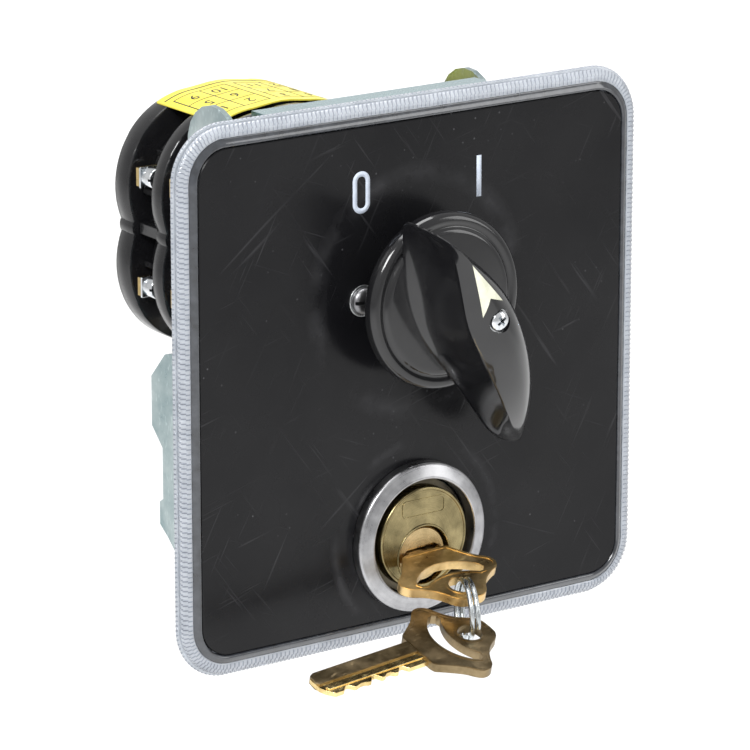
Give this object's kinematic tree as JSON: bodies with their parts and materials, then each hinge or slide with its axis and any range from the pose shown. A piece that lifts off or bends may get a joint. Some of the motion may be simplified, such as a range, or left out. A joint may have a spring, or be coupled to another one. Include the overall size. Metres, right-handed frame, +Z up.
{
  "type": "rotary isolator switch",
  "caption": "Panel-mounted rotary isolator switch with a black lever knob, square bezelled front plate, key lock with keys on a split ring, steel frame and stacked contact blocks.",
  "frame": {"origin": "centre of the panel seating plane, behind the middle of the square front plate", "axes": "+X to the right seen from the front, +Y through the panel to the rear, +Z up"},
  "size_m": [0.128, 0.1255, 0.128],
  "materials": {
    "clear_cover": "clear, ribbed at the edge",
    "face_sheet": "black, finely scratched",
    "base_frame": "translucent, ribbed at the edge",
    "panel_screw_left": "satin",
    "panel_screw_right": "satin",
    "mounting_frame": "bright zinc plate",
    "side_plate_left": "bright zinc plate",
    "side_plate_right": "bright zinc plate",
    "bolt_guide": "bright zinc plate",
    "lock_nut": "bright zinc plate",
    "bearing_block": "moulded, glossy",
    "contact_block_front": "moulded, glossy",
    "contact_block_rear": "moulded, glossy",
    "end_cover": "moulded, glossy",
    "detent_housing": "moulded, glossy",
    "tie_rod_upper": "satin",
    "tie_rod_lower": "satin",
    "detent_spring_left": "satin",
    "detent_spring_right": "satin",
    "rating_label": "yellow film with plain black boxes and terminal numbers",
    "terminal_1": "satin",
    "terminal_screw_1": "bright",
    "terminal_2": "satin",
    "terminal_screw_2": "bright",
    "terminal_3": "satin",
    "terminal_screw_3": "bright",
    "terminal_4": "satin",
    "terminal_screw_4": "bright",
    "terminal_5": "satin",
    "terminal_screw_5": "bright",
    "terminal_6": "satin",
    "terminal_screw_6": "bright",
    "terminal_7": "satin",
    "terminal_screw_7": "bright",
    "terminal_8": "satin",
    "terminal_screw_8": "bright",
    "shaft": "satin",
    "cam_front": "moulded",
    "cam_rear": "moulded",
    "detent_wheel": "satin",
    "lock_disc": "satin",
    "locking_bolt": "satin",
    "lock_cam": "satin",
    "contact_bridge_1": "satin",
    "bridge_spring_1": "bright",
    "contact_bridge_2": "satin",
    "bridge_spring_2": "bright",
    "contact_bridge_3": "satin",
    "bridge_spring_3": "bright",
    "contact_bridge_4": "satin",
    "bridge_spring_4": "bright",
    "knob": "glossy black",
    "knob_screw": "bright, cross slotted",
    "knob_arrow": "ivory paint in a recess",
    "lock_ring": "satin, turned",
    "lock_cylinder": "polished, tarnished at the edge",
    "lock_plug": "polished",
    "key_in_lock": "golden, worn",
    "spare_key": "dark, worn bright along the blade",
    "split_ring": "bright wire"
  },
  "bodies": {
    "housing": {"clear_cover": "clear_cover", "face_sheet": "face_sheet", "base_frame": "base_frame", "panel_screw_left": "panel_screw_left", "panel_screw_right": "panel_screw_right", "mounting_frame": "mounting_frame", "side_plate_left": "side_plate_left", "side_plate_right": "side_plate_right", "bearing_block": "bearing_block", "contact_block_front": "contact_block_front", "contact_block_rear": "contact_block_rear", "end_cover": "end_cover", "detent_housing": "detent_housing", "tie_rod_upper": "tie_rod_upper", "tie_rod_lower": "tie_rod_lower", "rating_label": "rating_label", "terminal_1": "terminal_1", "terminal_2": "terminal_2", "terminal_3": "terminal_3", "terminal_4": "terminal_4", "terminal_5": "terminal_5", "terminal_6": "terminal_6", "terminal_7": "terminal_7", "terminal_8": "terminal_8", "terminal_screw_1": "terminal_screw_1", "terminal_screw_2": "terminal_screw_2", "terminal_screw_3": "terminal_screw_3", "terminal_screw_4": "terminal_screw_4", "terminal_screw_5": "terminal_screw_5", "terminal_screw_6": "terminal_screw_6", "terminal_screw_7": "terminal_screw_7", "terminal_screw_8": "terminal_screw_8", "detent_spring_left": "detent_spring_left", "detent_spring_right": "detent_spring_right", "bridge_spring_1": "bridge_spring_1", "bridge_spring_2": "bridge_spring_2", "bridge_spring_3": "bridge_spring_3", "bridge_spring_4": "bridge_spring_4", "lock_ring": "lock_ring", "lock_cylinder": "lock_cylinder", "lock_nut": "lock_nut", "bolt_guide": "bolt_guide"},
    "handle": {"knob": "knob", "knob_arrow": "knob_arrow", "knob_screw": "knob_screw", "shaft": "shaft", "detent_wheel": "detent_wheel", "cam_front": "cam_front", "cam_rear": "cam_rear", "lock_disc": "lock_disc"},
    "bridge_1": {"contact_bridge_1": "contact_bridge_1"},
    "bridge_2": {"contact_bridge_2": "contact_bridge_2"},
    "bridge_3": {"contact_bridge_3": "contact_bridge_3"},
    "bridge_4": {"contact_bridge_4": "contact_bridge_4"},
    "plug": {"lock_plug": "lock_plug", "lock_cam": "lock_cam"},
    "bolt": {"locking_bolt": "locking_bolt"},
    "key": {"key_in_lock": "key_in_lock"},
    "ring": {"split_ring": "split_ring"},
    "spare": {"spare_key": "spare_key"}
  },
  "joints": [
    {"name": "handle_turn", "type": "hinge", "parent": "housing", "child": "handle", "pos_m": [0, 0, 0.0186], "axis": [0, 1, 0], "range_deg": [0, 60]},
    {"name": "bridge_slide_1", "type": "slide", "parent": "housing", "child": "bridge_1", "axis": [1, 0, 0], "range_m": [0, 0.002]},
    {"name": "bridge_slide_2", "type": "slide", "parent": "housing", "child": "bridge_2", "axis": [-1, 0, 0], "range_m": [0, 0.002]},
    {"name": "bridge_slide_3", "type": "slide", "parent": "housing", "child": "bridge_3", "axis": [1, 0, 0], "range_m": [0, 0.002]},
    {"name": "bridge_slide_4", "type": "slide", "parent": "housing", "child": "bridge_4", "axis": [-1, 0, 0], "range_m": [0, 0.002]},
    {"name": "lock_turn", "type": "hinge", "parent": "housing", "child": "plug", "pos_m": [0, 0, -0.0435], "axis": [0, 1, 0], "range_deg": [-90, 0]},
    {"name": "bolt_slide", "type": "slide", "parent": "housing", "child": "bolt", "axis": [0, 0, 1], "range_m": [0, 0.005]},
    {"name": "key_pull", "type": "slide", "parent": "plug", "child": "key", "axis": [0, -1, 0], "range_m": [0, 0.03]},
    {"name": "ring_swing", "type": "hinge", "parent": "key", "child": "ring", "pos_m": [0, -0.02057, -0.04781], "axis": [1, 0, 0], "range_deg": [-8, 8]},
    {"name": "spare_swing", "type": "hinge", "parent": "ring", "child": "spare", "pos_m": [-0.004, -0.0298, -0.0559], "axis": [0, 1, 0], "range_deg": [-12, 12]}
  ],
  "couplings": [
    {"joint": "bridge_slide_1", "follows": "handle_turn", "m_per_rad": 0.0019098},
    {"joint": "bridge_slide_2", "follows": "handle_turn", "m_per_rad": 0.0019098},
    {"joint": "bridge_slide_3", "follows": "handle_turn", "m_per_rad": 0.0019098},
    {"joint": "bridge_slide_4", "follows": "handle_turn", "m_per_rad": 0.0019098},
    {"joint": "bolt_slide", "follows": "lock_turn", "m_per_rad": -0.003183}
  ]
}
